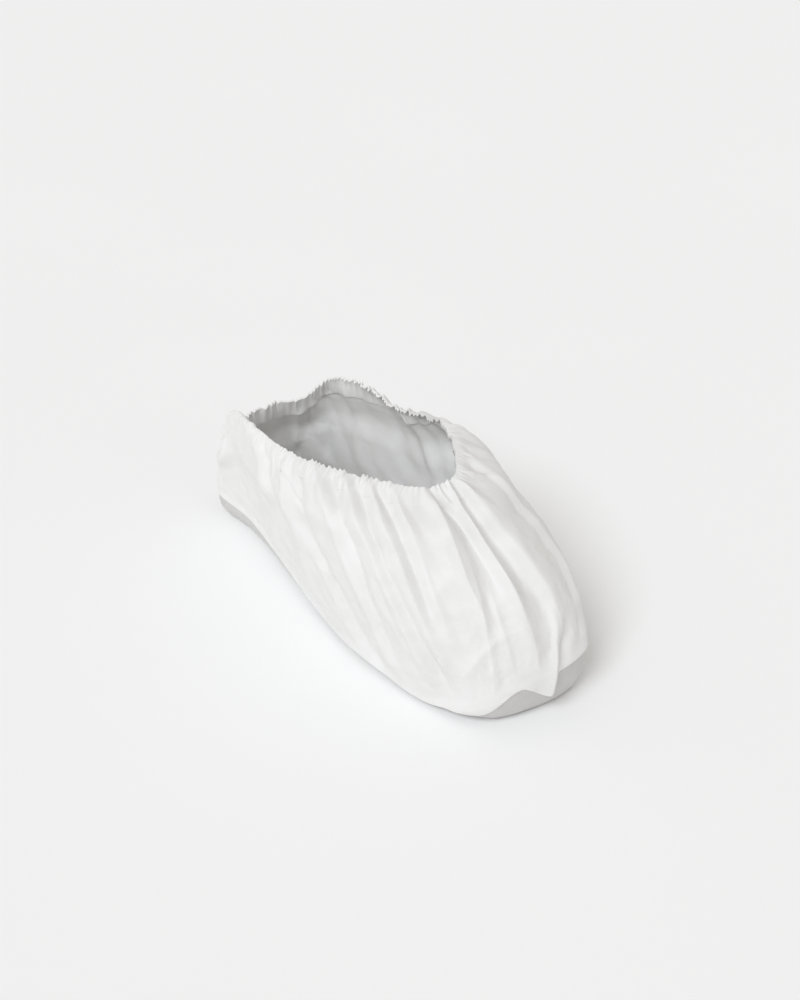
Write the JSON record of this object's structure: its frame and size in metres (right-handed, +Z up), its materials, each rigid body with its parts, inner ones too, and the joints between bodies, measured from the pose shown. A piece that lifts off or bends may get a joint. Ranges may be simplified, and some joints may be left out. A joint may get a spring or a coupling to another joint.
{
  "type": "shoe cover",
  "caption": "Loose disposable cloth overshoe in its worn form, with a gathered elastic opening, long folds over the toe and a shallow sole tray.",
  "frame": {"origin": "on the floor below the middle of the cover's box", "axes": "+X towards the toe, +Y towards the wearer's left, +Z up"},
  "size_m": [0.3108, 0.132, 0.1286],
  "materials": {
    "upper_cloth": "white nonwoven laminate, soft and slightly crinkled",
    "hem_cloth": "white nonwoven laminate, finely gathered over an elastic",
    "sole_cloth": "pale grey-white nonwoven laminate, matt"
  },
  "bodies": {
    "root": {"upper": "upper_cloth", "elastic_hem": "hem_cloth", "sole": "sole_cloth"}
  },
  "joints": []
}
